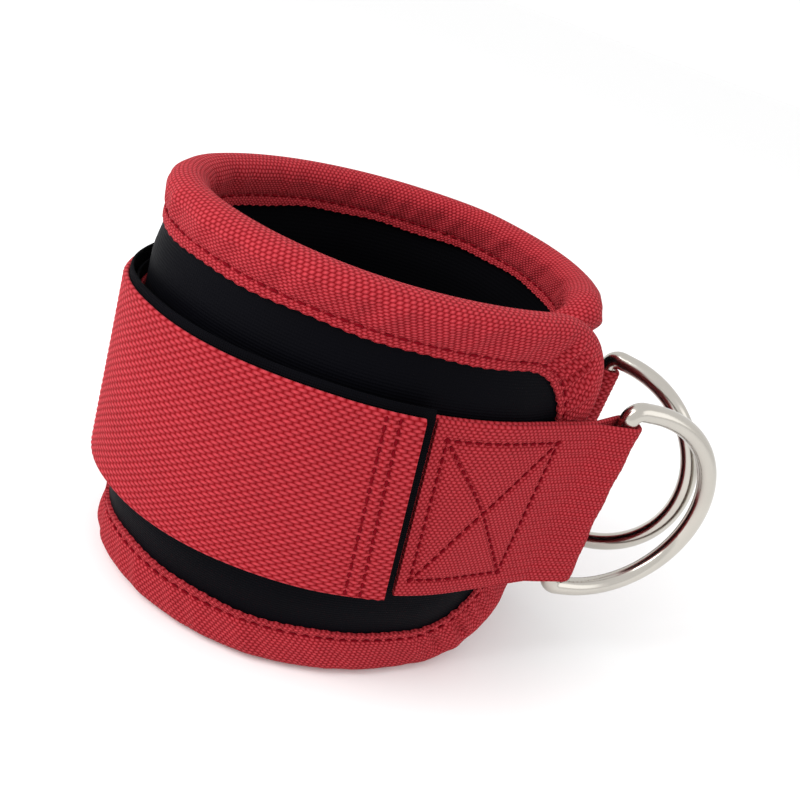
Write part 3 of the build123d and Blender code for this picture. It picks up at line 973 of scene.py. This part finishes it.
seams = [("binding_thread_outside", binding_row(1), SEAM_SIZES, "binding_seam_outside"),
         ("binding_thread_inside", binding_row(-1), SEAM_SIZES, "binding_seam_inside"),
         ("front_box_thread", flat_rows(strap, front_box, FOLD_OUT - BOX_SINK, fold_lean),
          THREAD_SIZES, "front_box_stitching"),
         ("rear_box_thread", flat_rows(tail, rear_box, TAIL_OUT - BOX_SINK), THREAD_SIZES,
          "rear_box_stitching"),
         ("tail_tip_thread", flat_rows(tail, tip_rows, TAIL_OUT, lean), THREAD_SIZES,
          "tail_tip_stitching")]
for name, rows, sizes, node in seams:
    piece = sew(name, rows, sizes)
    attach(piece, "tail_front" if node == "tail_tip_stitching" else "cuff")
    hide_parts(node)

# %% [markdown]
# ## Rings
# The rings are bent wire and their CAD shape is right, so they keep their CAD mesh and only get the
# nickel. Bright metal shows the lights more than its own colour, so it needs only slight unevenness.

# %% Rings
for node in ("front_d_ring", "rear_d_ring"):
    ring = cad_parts[node]
    ring.data.materials.clear()
    ring.data.materials.append(nickel)
    print(node, "is plated")

# %% [markdown]
# ## Floor, light and camera
# A pale floor under even white light, with one large soft lamp high on the left to shape the folds.
# The camera stands in front and above, rolled to the side.

# %% Floor
bpy.ops.mesh.primitive_plane_add(size=90.0)
floor = bpy.context.object
floor.name = "floor"
floor_paint, _, floor_shader = new_material("pale_floor")
floor_shader.inputs["Base Color"].default_value = (0.96, 0.96, 0.96, 1.0)
floor_shader.inputs["Roughness"].default_value = 0.9
floor.data.materials.append(floor_paint)

# %% Light
world = bpy.data.worlds.new("studio")
bpy.context.scene.world = world
world.use_nodes = True
world.node_tree.nodes["Background"].inputs["Color"].default_value = (1.0, 1.0, 1.0, 1.0)
world.node_tree.nodes["Background"].inputs["Strength"].default_value = 1.03


def soft_lamp(name, place, size, power):
    """A large area lamp that faces the cuff."""
    lamp = bpy.data.lights.new(name, "AREA")
    lamp.size, lamp.energy = size, power
    obj = bpy.data.objects.new(name, lamp)
    bpy.context.collection.objects.link(obj)
    obj.location = place
    obj.rotation_euler = (Vector((0, 0, 0.05)) - Vector(place)).to_track_quat("-Z", "Y").to_euler()


soft_lamp("key", (-0.60, -0.35, 0.60), 0.5, 5.5)
soft_lamp("fill", (0.7, -0.4, 0.5), 0.6, 1.0)
bpy.context.scene.view_settings.view_transform = "Standard"

# %% Camera
PITCH, ROLL = math.radians(25.63), math.radians(20.25)
LENS, SENSOR = 39.06, 36.0
ahead = Vector((0, math.cos(PITCH), -math.sin(PITCH)))
level, up = Vector((1, 0, 0)), Vector((0, math.sin(PITCH), math.cos(PITCH)))
right = level * math.cos(ROLL) + up * math.sin(ROLL)
top = up * math.cos(ROLL) - level * math.sin(ROLL)
camera_data = bpy.data.cameras.new("camera")
camera_data.lens, camera_data.sensor_width = LENS, SENSOR
camera_data.clip_start = 0.01
camera = bpy.data.objects.new("camera", camera_data)
bpy.context.collection.objects.link(camera)
spot = Vector((0.01263, -0.2143, 0.16148))
turned = Matrix((right, top, -ahead)).transposed().to_4x4()
camera.matrix_world = Matrix.Translation(spot) @ turned
bpy.context.scene.camera = camera
